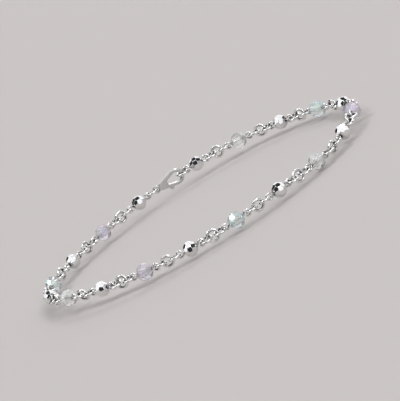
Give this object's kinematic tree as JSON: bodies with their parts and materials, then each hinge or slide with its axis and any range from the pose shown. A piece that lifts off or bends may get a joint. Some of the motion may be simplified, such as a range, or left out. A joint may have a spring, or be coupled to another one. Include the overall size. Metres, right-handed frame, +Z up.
{
  "type": "payal anklet",
  "caption": "Delicate chain anklet: cut silver and clear crystal beads on wire pins, joined by round links, with a plain clasp.",
  "frame": {"origin": "middle of the loop, where the ankle goes through", "axes": "+Z up the leg, +X to the toes along the loop's longest side, -Y to the outer side of the ankle"},
  "size_m": [0.0899, 0.0699, 0.0058],
  "materials": {
    "cut_silver": "bright polished silver with cut flats",
    "silver_wire": "polished silver wire",
    "crystal": "clear cut crystal with a faint icy tint"
  },
  "bodies": {
    "root": {"clasp": "silver_wire", "crystal_bead_01": "crystal", "crystal_bead_02": "crystal", "crystal_bead_03": "crystal", "crystal_bead_04": "crystal", "crystal_bead_05": "crystal", "crystal_bead_06": "crystal", "crystal_bead_07": "crystal", "crystal_bead_08": "crystal", "crystal_bead_09": "crystal", "eye_pin_01": "silver_wire", "eye_pin_02": "silver_wire", "eye_pin_03": "silver_wire", "eye_pin_04": "silver_wire", "eye_pin_05": "silver_wire", "eye_pin_06": "silver_wire", "eye_pin_07": "silver_wire", "eye_pin_08": "silver_wire", "eye_pin_09": "silver_wire", "eye_pin_10": "silver_wire", "eye_pin_11": "silver_wire", "eye_pin_12": "silver_wire", "eye_pin_13": "silver_wire", "eye_pin_14": "silver_wire", "eye_pin_15": "silver_wire", "eye_pin_16": "silver_wire", "eye_pin_17": "silver_wire", "eye_pin_18": "silver_wire", "eye_pin_19": "silver_wire", "link_rings_far": "silver_wire", "link_rings_near": "silver_wire", "silver_bead_01": "cut_silver", "silver_bead_02": "cut_silver", "silver_bead_03": "cut_silver", "silver_bead_04": "cut_silver", "silver_bead_05": "cut_silver", "silver_bead_06": "cut_silver", "silver_bead_07": "cut_silver", "silver_bead_08": "cut_silver", "silver_bead_09": "cut_silver", "silver_bead_10": "cut_silver"}
  },
  "joints": []
}
